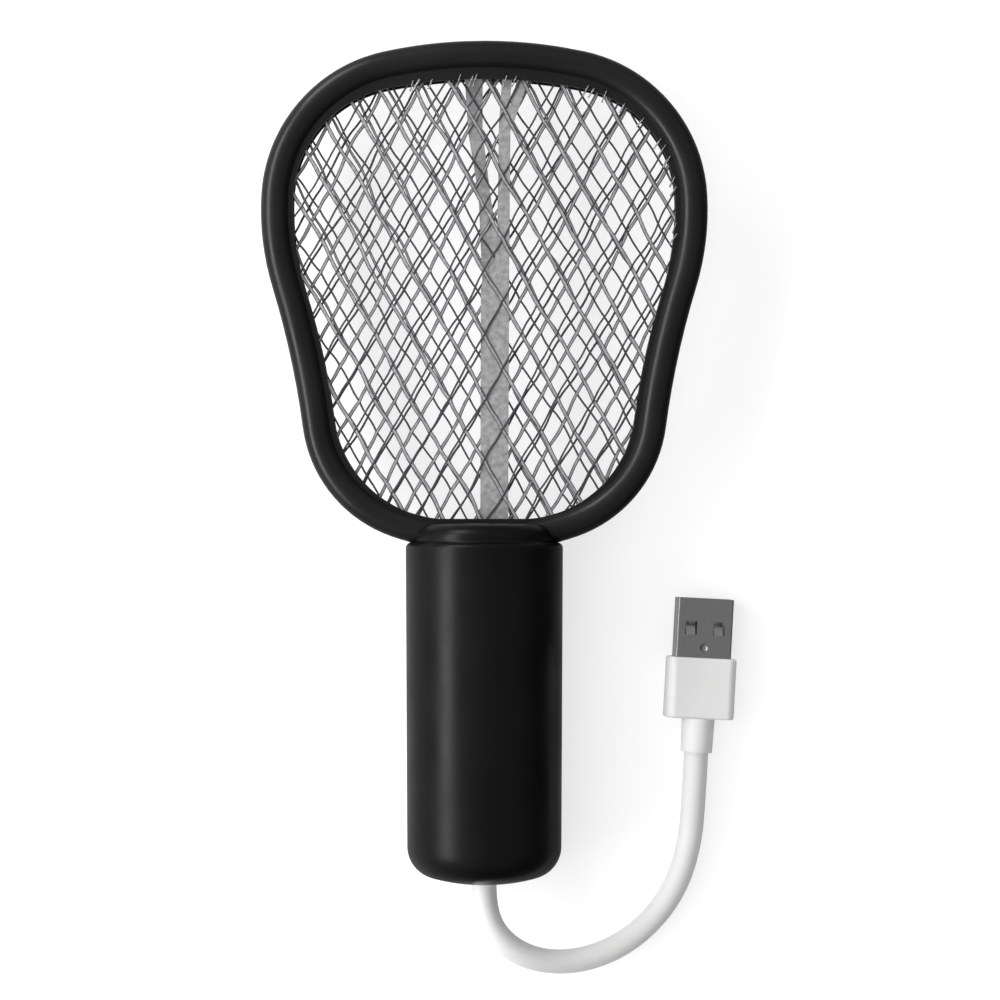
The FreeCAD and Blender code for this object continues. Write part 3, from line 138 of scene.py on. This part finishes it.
class Shader:
    """A material's node tree, with short calls for the nodes that it uses."""

    def __init__(self, name):
        self.material = bpy.data.materials.new(name)
        self.material.use_nodes = True
        self.nodes = self.material.node_tree.nodes
        self.links = self.material.node_tree.links
        self.surface = self.nodes["Principled BSDF"]
        self.place = self.nodes.new("ShaderNodeTexCoord").outputs["Object"]

    def put(self, **values):
        """Sets sockets of the surface shader, with underscores for the spaces in their names."""
        for name, value in values.items():
            self.surface.inputs[name.replace("_", " ")].default_value = value
        return self

    def noise(self, scale, detail=4.0, stretch=(1, 1, 1)):
        """A fine cloudy pattern, squeezed along an axis by its number in stretch."""
        mapping = self.nodes.new("ShaderNodeMapping")
        mapping.inputs["Scale"].default_value = stretch
        self.links.new(self.place, mapping.inputs["Vector"])
        texture = self.nodes.new("ShaderNodeTexNoise")
        texture.inputs["Scale"].default_value = scale
        texture.inputs["Detail"].default_value = detail
        self.links.new(mapping.outputs["Vector"], texture.inputs["Vector"])
        return texture.outputs["Fac"]

    def spread(self, fac, low, high, start=0.35, end=0.65):
        """Maps a pattern onto values, or onto colours, between low and high."""
        ramp = self.nodes.new("ShaderNodeValToRGB")
        for stop, place, colour in zip(ramp.color_ramp.elements, (start, end), (low, high)):
            stop.position = place
            stop.color = (*colour, 1.0) if isinstance(colour, tuple) else (colour,) * 3 + (1.0,)
        self.links.new(fac, ramp.inputs["Fac"])
        return ramp.outputs["Color"]

    def feed(self, name, source):
        """Drives a socket of the surface shader from source."""
        self.links.new(source, self.surface.inputs[name])
        return self

    def bump(self, fac, strength, distance):
        """Raises the surface by distance, in metres, where the pattern is bright."""
        node = self.nodes.new("ShaderNodeBump")
        node.inputs["Strength"].default_value = strength
        node.inputs["Distance"].default_value = distance
        self.links.new(fac, node.inputs["Height"])
        self.links.new(node.outputs["Normal"], self.surface.inputs["Normal"])
        return self


def plastic(name, dark, light, roughness, grain=2600.0, depth=0.00002, specular=0.4, marks=28.0):
    """Moulded plastic: a fine spark-eroded grain, faint flow marks in colour and gloss."""
    shader = Shader(name).put(Specular_IOR_Level=specular)
    shader.feed("Base Color", shader.spread(shader.noise(marks), dark, light))
    shader.feed("Roughness", shader.spread(shader.noise(60.0), roughness - 0.04, roughness + 0.05))
    return shader.bump(shader.noise(grain, 2.0), 0.35, depth).material


def metal(name, dark, light, roughness, stretch=(1, 1, 1), grain=900.0, depth=0.00001):
    """Bare metal with drawn or brushed lines along the stretched axis."""
    shader = Shader(name).put(Metallic=1.0)
    lines = shader.noise(grain, 6.0, stretch)
    shader.feed("Base Color", shader.spread(lines, dark, light, 0.25, 0.75))
    shader.feed("Roughness", shader.spread(lines, roughness - 0.06, roughness + 0.08))
    return shader.bump(lines, 0.3, depth).material


def board_lacquer():
    """Green solder mask over copper tracks."""
    shader = Shader("board_lacquer").put(Specular_IOR_Level=0.5, Roughness=0.3)
    cells = shader.nodes.new("ShaderNodeTexVoronoi")
    cells.distance = "CHEBYCHEV"
    cells.inputs["Scale"].default_value = 240.0
    shader.links.new(shader.place, cells.inputs["Vector"])
    pattern = cells.outputs["Distance"]
    tracks = shader.spread(pattern, (0.01, 0.12, 0.04), (0.03, 0.26, 0.09), 0.3, 0.34)
    return shader.feed("Base Color", tracks).bump(pattern, 0.2, 0.00003).material


def make_materials():
    """One material for each slot of the record, one for the rim and one for the painted shade on the
    strands' edges.
    """
    return {
        "black_abs": plastic("satin_black_plastic", *greys(0.0022, 0.0034), 0.33, specular=0.13),
        "black_ring": plastic("ring_black_plastic", *greys(0.0055, 0.008), 0.3, specular=0.22),
        "net_wire": metal("dull_net_wire", (0.42, 0.42, 0.43), (0.60, 0.60, 0.61), 0.45),
        # Painted shade: a dark copy of the wire's metal, for the strands' edges and for thin strands.
        "net_painted_shade": metal("wire_edge_painted_shade", (0.063, 0.063, 0.068), (0.135, 0.135, 0.14), 0.5),
        "grey_plastic": plastic("grey_plastic", *greys(0.18, 0.29), 0.5, marks=500.0),
        "screw_steel": metal("zinc_plated_steel", (0.42, 0.42, 0.44), (0.62, 0.62, 0.62), 0.32),
        "button_grey": plastic("button_plastic", *greys(0.05, 0.065), 0.5),
        "spring_steel": metal("spring_steel", *greys(0.45, 0.6), 0.25),
        "switch_metal": metal("switch_can", *greys(0.5, 0.68), 0.3, (1, 8, 1)),
        "lens_clear": plastic("milky_lens", (0.62, 0.64, 0.66), (0.72, 0.74, 0.76), 0.2, specular=0.5),
        "board_green": board_lacquer(),
        "cell_wrap": plastic("cell_sleeve", (0.02, 0.12, 0.34), (0.03, 0.16, 0.4), 0.25, specular=0.5),
        "strip_nickel": metal("nickel_strip", (0.5, 0.48, 0.42), (0.66, 0.64, 0.58), 0.3, (1, 1, 8)),
        "ferrite": plastic("ferrite", *greys(0.02, 0.035), 0.6),
        "winding_copper": metal(
            "enamelled_copper", (0.45, 0.16, 0.06), (0.7, 0.3, 0.13), 0.3, (1, 20, 1)
        ),
        "film_brown": plastic(
            "dipped_brown", (0.2, 0.05, 0.02), (0.26, 0.07, 0.03), 0.25, specular=0.5
        ),
        "ceramic_blue": plastic(
            "dipped_blue", (0.02, 0.07, 0.3), (0.03, 0.1, 0.36), 0.3, specular=0.5
        ),
        "black_epoxy": plastic("black_epoxy", *greys(0.012, 0.018), 0.45),
        "resistor_tan": plastic("resistor_tan", (0.45, 0.33, 0.18), (0.55, 0.42, 0.25), 0.4),
        "lead_red": plastic("lead_insulation", (0.32, 0.01, 0.01), (0.4, 0.02, 0.02), 0.4),
        "white_rubber": plastic("white_rubber", (0.66, 0.66, 0.655), (0.71, 0.71, 0.705), 0.5, 1400.0),
        "white_plastic": plastic(
            "white_plastic", (0.67, 0.67, 0.665), (0.72, 0.72, 0.715), 0.36, 1800.0
        ),
        "plug_steel": metal("plug_steel", (0.27, 0.27, 0.275), (0.35, 0.35, 0.355), 0.34, (1, 12, 1)),
        "contact_gold": metal("gold_plate", (0.36, 0.30, 0.19), (0.46, 0.39, 0.26), 0.4, (1, 8, 1)),
    }


def paint_nodes(materials):
    """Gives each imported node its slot's material. The rim is a little greyer than the handle."""
    slots = {part["node"]: part["material_slot"] for part in frame["record"]["subparts"]}
    slots.update(frame_front="black_ring", frame_rear="black_ring")
    for name, obj in NODES.items():
        for slot in obj.material_slots:
            slot.material = materials[slots[name]]


# ---------------------------------------------------------------- nets


class Rim:
    """One wall of a ring-shaped node, as its distance from the head's centre in each direction."""

    # A wall's normal leans by at most UPRIGHT. A corner isn't part of an inner wall if it stands
    # more than BEHIND, in metres, behind another one that is within NEAR, in radians.
    UPRIGHT = 0.1
    NEAR = 0.06
    BEHIND = 0.0035

    def __init__(self, node, outer, above=0.0):
        """Takes the wall's corners that are higher than above."""
        mesh = NODES[node].data
        polar = {}
        for face in mesh.polygons:
            if abs(face.normal.z) > self.UPRIGHT:
                continue
            middle = Vector(face.center[:2]) - HEAD_CENTRE
            if (middle.dot(Vector(face.normal[:2])) > 0) != outer:
                continue
            for index in face.vertices:
                spot = mesh.vertices[index].co
                if spot.z < above:
                    continue
                spoke = Vector(spot[:2]) - HEAD_CENTRE
                polar[round(math.atan2(spoke.y, spoke.x), 5)] = spoke.length
        self.angles = np.array(sorted(polar))
        self.reach = np.array([polar[a] for a in self.angles])
        if not outer:
            self.drop_far_corners()

    def drop_far_corners(self):
        """Leaves out corners that stand well behind the ones beside them, such as a screw hole's."""
        nearest = [self.reach[abs(self.angles - angle) < self.NEAR].min() for angle in self.angles]
        kept = self.reach < np.array(nearest) + self.BEHIND
        self.angles = self.angles[kept]
        self.reach = self.reach[kept]

    def distance(self, spot):
        """How far inside the wall a spot is, measured towards the centre."""
        spoke = Vector(spot[:2]) - HEAD_CENTRE
        angle = math.atan2(spoke.y, spoke.x)
        return float(np.interp(angle, self.angles, self.reach, period=2 * math.pi)) - spoke.length


class StrandMesh:
    """Collects flat strands of cut metal into one mesh: pale flats between edges in a dark material,
    which is painted shade.
    """

    # Each corner of a section: how far across in half widths, how far on in edge widths, how high.
    # The sides after the corners in FLATS are the flats; the other sides get the painted shade.
    SECTION = ((1, 0, -0.6), (1, 0, 0.6), (1, -1, 1), (-1, 1, 1),
               (-1, 0, 0.6), (-1, 0, -0.6), (-1, 1, -1), (1, -1, -1))
    FLATS = (2, 6)
    EDGE_WIDTH = 0.0003

    def __init__(self):
        self.points, self.faces, self.slots = [], [], []

    def add(self, path, half_width, half_thickness, flats=True):
        """A strand through path. half_width is a function of how far along it is, in points."""
        if len(path) < 2:
            return
        sides = len(self.SECTION)
        first = len(self.points)
        for index, spot in enumerate(path):
            ahead = (path[min(index + 1, len(path) - 1)] - path[max(index - 1, 0)]).normalized()
            side = ahead.cross(Vector((0, 0, 1))).normalized()
            up = side.cross(ahead)
            width = half_width(index)
            edge = min(self.EDGE_WIDTH, 0.6 * width)
            for across, inset, rise in self.SECTION:
                corner = side * (across * width + inset * edge) + up * rise * half_thickness
                self.points.append(spot + corner)
        rings = [first + sides * i for i in range(len(path))]
        for low, high in zip(rings, rings[1:]):
            for corner in range(sides):
                after = (corner + 1) % sides
                self.faces.append((low + corner, low + after, high + after, high + corner))
                # Slot 1 is painted shade: every side but the flats, all sides of a strand without
                # flats, and the end caps.
                self.slots.append(0 if flats and corner in self.FLATS else 1)
        self.faces.append(tuple(reversed(range(rings[0], rings[0] + sides))))
        self.faces.append(tuple(range(rings[-1], rings[-1] + sides)))
        self.slots += [1, 1]

    def build(self, name, materials):
        """The mesh as an object on the swatter's body. materials are the flats' and the painted shade
        of the edges.
        """
        mesh = bpy.data.meshes.new(name)
        mesh.from_pydata([tuple(p) for p in self.points], [], self.faces)
        for material in materials:
            mesh.materials.append(material)
        mesh.polygons.foreach_set("material_index", self.slots)
        obj = bpy.data.objects.new(name, mesh)
        bpy.context.collection.objects.link(obj)
        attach(obj, "swatter")
        return obj


def net_knots(seed, shift, turn):
    """Where a net's strands meet: a slightly turned diamond lattice, each knot a bit out of place."""
    rng = random.Random(seed)
    knots = {}
    for row in KNOT_ROWS:
        for column in KNOT_COLUMNS:
            lattice = Vector(((column + 0.5 * (row % 2)) * NET_PITCH.x, 0.5 * row * NET_PITCH.y))
            stray = Vector((rng.gauss(0, 0.00036), rng.gauss(0, 0.0005)))
            spot = (lattice + stray - HEAD_CENTRE).to_3d()
            spot.rotate(Euler((0, 0, math.radians(turn))))
            knots[row, column] = spot.to_2d() + HEAD_CENTRE + shift
    return knots


def strand(knots, row, column, lean):
    """The knots that one strand passes, going up from row and leaning right (1) or left (-1)."""
    chain = []
    while (row, column) in knots:
        chain.append(knots[row, column])
        if lean > 0:
            column += row % 2
        else:
            column -= 1 - row % 2
        row += 1
    return chain


def strand_line(chain, level, rng):
    """A strand as a line of points: nearly straight from knot to knot, and over and under at each."""
    line = []
    for index, (low, high) in enumerate(zip(chain, chain[1:])):
        across = Vector((high.y - low.y, low.x - high.x)).normalized()
        sway = STRAND_BOW * rng.uniform(0.3, 1.0) * (1 if index % 2 else -1)
        for step in range(STEPS_PER_KNOT):
            share = step / STEPS_PER_KNOT
            flat = low.lerp(high, share) + across * sway * math.sin(2 * math.pi * share)
            height = level + STRAND_WEAVE * math.cos(math.pi * (index + share))
            line.append(Vector((flat.x, flat.y, height)))
    return line


def uneven(middle, swell, rng):
    """A half width along a strand that swells towards some knots and thins out between them."""
    swells = [rng.uniform(0.2, 1.0) * swell for _ in range(60)]

    def half_width(index):
        knot, step = divmod(index, STEPS_PER_KNOT)
        near = 0.5 + 0.5 * math.cos(2 * math.pi * step / STEPS_PER_KNOT)
        here = swells[(knot if step < 0.5 * STEPS_PER_KNOT else knot + 1) % len(swells)]
        return middle * (1.0 + here * near)

    return half_width


def make_net(node, seed, shift, turn, strand_kinds, materials):
    """A net cut and drawn from sheet, in place of the plain one that the rings hold."""
    low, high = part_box(node)
    level = 0.5 * (low[2] + high[2])
    edge = Rim("spacer_front", outer=True)
    rng = random.Random(seed + 100)
    knots = net_knots(seed, Vector(shift), turn)
    strands = StrandMesh()
    sides = (KNOT_COLUMNS[0], KNOT_COLUMNS[-1])
    starts = [(KNOT_ROWS[0], column) for column in KNOT_COLUMNS]
    starts += [(row, side) for row in KNOT_ROWS[1:] for side in sides]
    seen = set()
    for row, column in starts:
        for lean in (1, -1):
            chain = strand(knots, row, column, lean)
            key = (lean, tuple(chain[-1]) if chain else None)
            if len(chain) < 2 or key in seen:
                continue
            seen.add(key)
            line = strand_line(chain, level + lean * LEAN_LIFT, rng)
            inside = [spot for spot in line if edge.distance(spot) > NET_MARGIN]
            middle, swell, flats = strand_kinds[lean]
            strands.add(inside, uneven(middle, swell, rng), STRAND_HALF_THICKNESS, flats)
    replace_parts(strands.build(node + "_strands", materials), node)


def make_wire_ends(materials):
    """Cut ends of right-leaning wires, which stick out over the frame's lip at the top and right."""
    rng = random.Random(41)
    lip = AXIS_HEIGHT + LIP_TOP_ABOVE_AXIS
    edge = Rim("frame_front", outer=False, above=lip - WIRE_END_LIFT)
    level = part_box("net_front")[1][2]
    climb = lip + WIRE_END_LIFT - level
    past_the_rim, back_step = 0.12, 0.0002
    lowest, leftmost = HEAD_CENTRE.y + 0.005, -0.045
    ends = StrandMesh()
    for place in range(-WIRE_END_COUNT, WIRE_END_COUNT):
        run = Vector((NET_PITCH.x, NET_PITCH.y)).normalized()
        run.rotate(Matrix.Rotation(rng.gauss(0, 0.10), 2))
        start = HEAD_CENTRE + Vector((WIRE_END_PITCH * (place + rng.uniform(-0.2, 0.2)), 0))
        spot = start + run * past_the_rim
        while edge.distance(spot) < 0.0 and spot.y > HEAD_CENTRE.y:
            spot = spot - run * back_step
        reach = rng.uniform(0.0009, 0.0020)
        if spot.y < lowest or spot.x < leftmost:
            continue
        path = []
        for ahead, rise in (*WIRE_END_CLIMB, (reach, WIRE_END_HEIGHT)):
            along = spot + run * ahead
            path.append(Vector((along.x, along.y, level + climb * rise)))
        width = rng.uniform(0.00023, 0.00033)
        ends.add(path, lambda i: width * (1.0 - 0.06 * i), 0.00014)
    ends.build("net_wire_ends", materials)


# ---------------------------------------------------------------- spring and cord


def make_spring(material):
    """The push button's return spring, which shortens as the button goes in on the real swatter; here
    a fixed copy with a mesh of its own, on the swatter's body.
    """
    coil = bpy.data.objects.new("trigger_spring_coil", NODES["trigger_spring"].data.copy())
    coil.data.materials.clear()
    coil.data.materials.append(material)
    bpy.context.collection.objects.link(coil)
    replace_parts(coil, "trigger_spring")
    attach(coil, "swatter")
    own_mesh(coil)


def make_cord(material):
    """The free cord, as one smooth round line with the plug's pieces at its end."""
    curve = bpy.data.curves.new("usb_cord_line", "CURVE")
    curve.dimensions = "3D"
    spline = curve.splines.new("NURBS")
    spline.points.add(len(CORD_ROUTE) - 1)
    for point, spot in zip(spline.points, CORD_ROUTE):
        point.co = (*spot, 1.0)
    spline.order_u = 3
    spline.use_endpoint_u = True
    spline.resolution_u = 24
    curve.bevel_depth = 0.5 * CORD_DIAMETER
    curve.bevel_resolution = 10
    curve.materials.append(material)
    cord = bpy.data.objects.new("usb_cord_line", curve)
    bpy.context.collection.objects.link(cord)
    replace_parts(cord, "usb_cord")
    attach(cord, "swatter")


# ---------------------------------------------------------------- stage


def make_floor():
    """A pale table top that glows a little, so that shadows on it stay soft."""
    shader = Shader("pale_floor").put(Specular_IOR_Level=0.1, Roughness=0.9)
    shader.feed("Base Color", shader.spread(shader.noise(3.0), *greys(0.40, 0.42)))
    shader.put(Emission_Color=(1, 1, 1, 1), Emission_Strength=0.67)
    bpy.ops.mesh.primitive_plane_add(size=6.0, location=(0, 0, -0.0001))
    floor = bpy.context.object
    floor.name = "floor"
    floor.visible_glossy = False
    floor.data.materials.append(shader.material)


def make_world():
    """A soft studio all round: bright along the left, mid grey above and almost dark on the right."""
    world = bpy.data.worlds.new("studio")
    bpy.context.scene.world = world
    world.use_nodes = True
    nodes, links = world.node_tree.nodes, world.node_tree.links
    split = nodes.new("ShaderNodeSeparateXYZ")
    links.new(nodes.new("ShaderNodeTexCoord").outputs["Generated"], split.inputs["Vector"])
    parts = []
    for axis, (start, end), (low, high) in (("X", (0.0, -1.0), (0.0, LEFT_GLOW)),
                                            ("Y", (0.0, 1.0), (0.0, HEAD_GLOW)),
                                            ("Z", (0.15, 0.6), (0.04, TOP_GLOW)),
                                            ("Z", (-0.3, -0.8), (0.0, LOW_GLOW))):
        ease = nodes.new("ShaderNodeMapRange")
        ease.inputs["From Min"].default_value, ease.inputs["From Max"].default_value = start, end
        ease.inputs["To Min"].default_value, ease.inputs["To Max"].default_value = low, high
        links.new(split.outputs[axis], ease.inputs["Value"])
        parts.append(ease.outputs["Result"])
    total = parts[0]
    for part in parts[1:]:
        add = nodes.new("ShaderNodeMath")
        links.new(total, add.inputs[0])
        links.new(part, add.inputs[1])
        total = add.outputs["Value"]
    nodes["Background"].inputs["Color"].default_value = (1, 1, 1, 1)
    links.new(total, nodes["Background"].inputs["Strength"])


def add_area(name, spot, size, power, glossy=True):
    """A lamp of the given size in metres and power in watts, aimed at the middle of the swatter."""
    light = bpy.data.lights.new(name, "AREA")
    light.shape = "RECTANGLE"
    light.size, light.size_y = size
    light.energy = power
    obj = bpy.data.objects.new(name, light)
    obj.location = spot
    obj.rotation_euler = (Vector((0, 0, 0.02)) - Vector(spot)).to_track_quat("-Z", "Y").to_euler()
    obj.visible_glossy = glossy
    bpy.context.collection.objects.link(obj)


def make_camera():
    """Straight above the swatter."""
    data = bpy.data.cameras.new("camera")
    data.lens = data.sensor_width * VIEW_HEIGHT / VIEW_WIDTH
    camera = bpy.data.objects.new("camera", data)
    camera.location = (*VIEW_CENTRE, AXIS_HEIGHT + VIEW_HEIGHT)
    bpy.context.collection.objects.link(camera)
    bpy.context.scene.camera = camera


def main():
    make_camera()
    materials = make_materials()
    paint_nodes(materials)
    make_spring(materials["spring_steel"])
    make_cord(materials["white_rubber"])
    # The strands' pale flats, then the painted shade on their edges.
    wire = [materials["net_wire"], materials["net_painted_shade"]]
    for node, (seed, shift, turn, strand_kinds) in NETS.items():
        make_net(node, seed, shift, turn, strand_kinds, wire)
    make_wire_ends(wire)
    make_floor()
    make_world()
    add_area("key", (-0.66, 0.0, 0.45), (1.1, 0.24), 7.5)
    add_area("head_side", (-0.45, 0.7, 0.3), (0.3, 0.3), 2.5)
    add_area("fill", (-0.55, -0.1, 1.3), (1.2, 1.2), 6.0, glossy=False)
    bpy.context.scene.view_settings.view_transform = "Standard"


main()
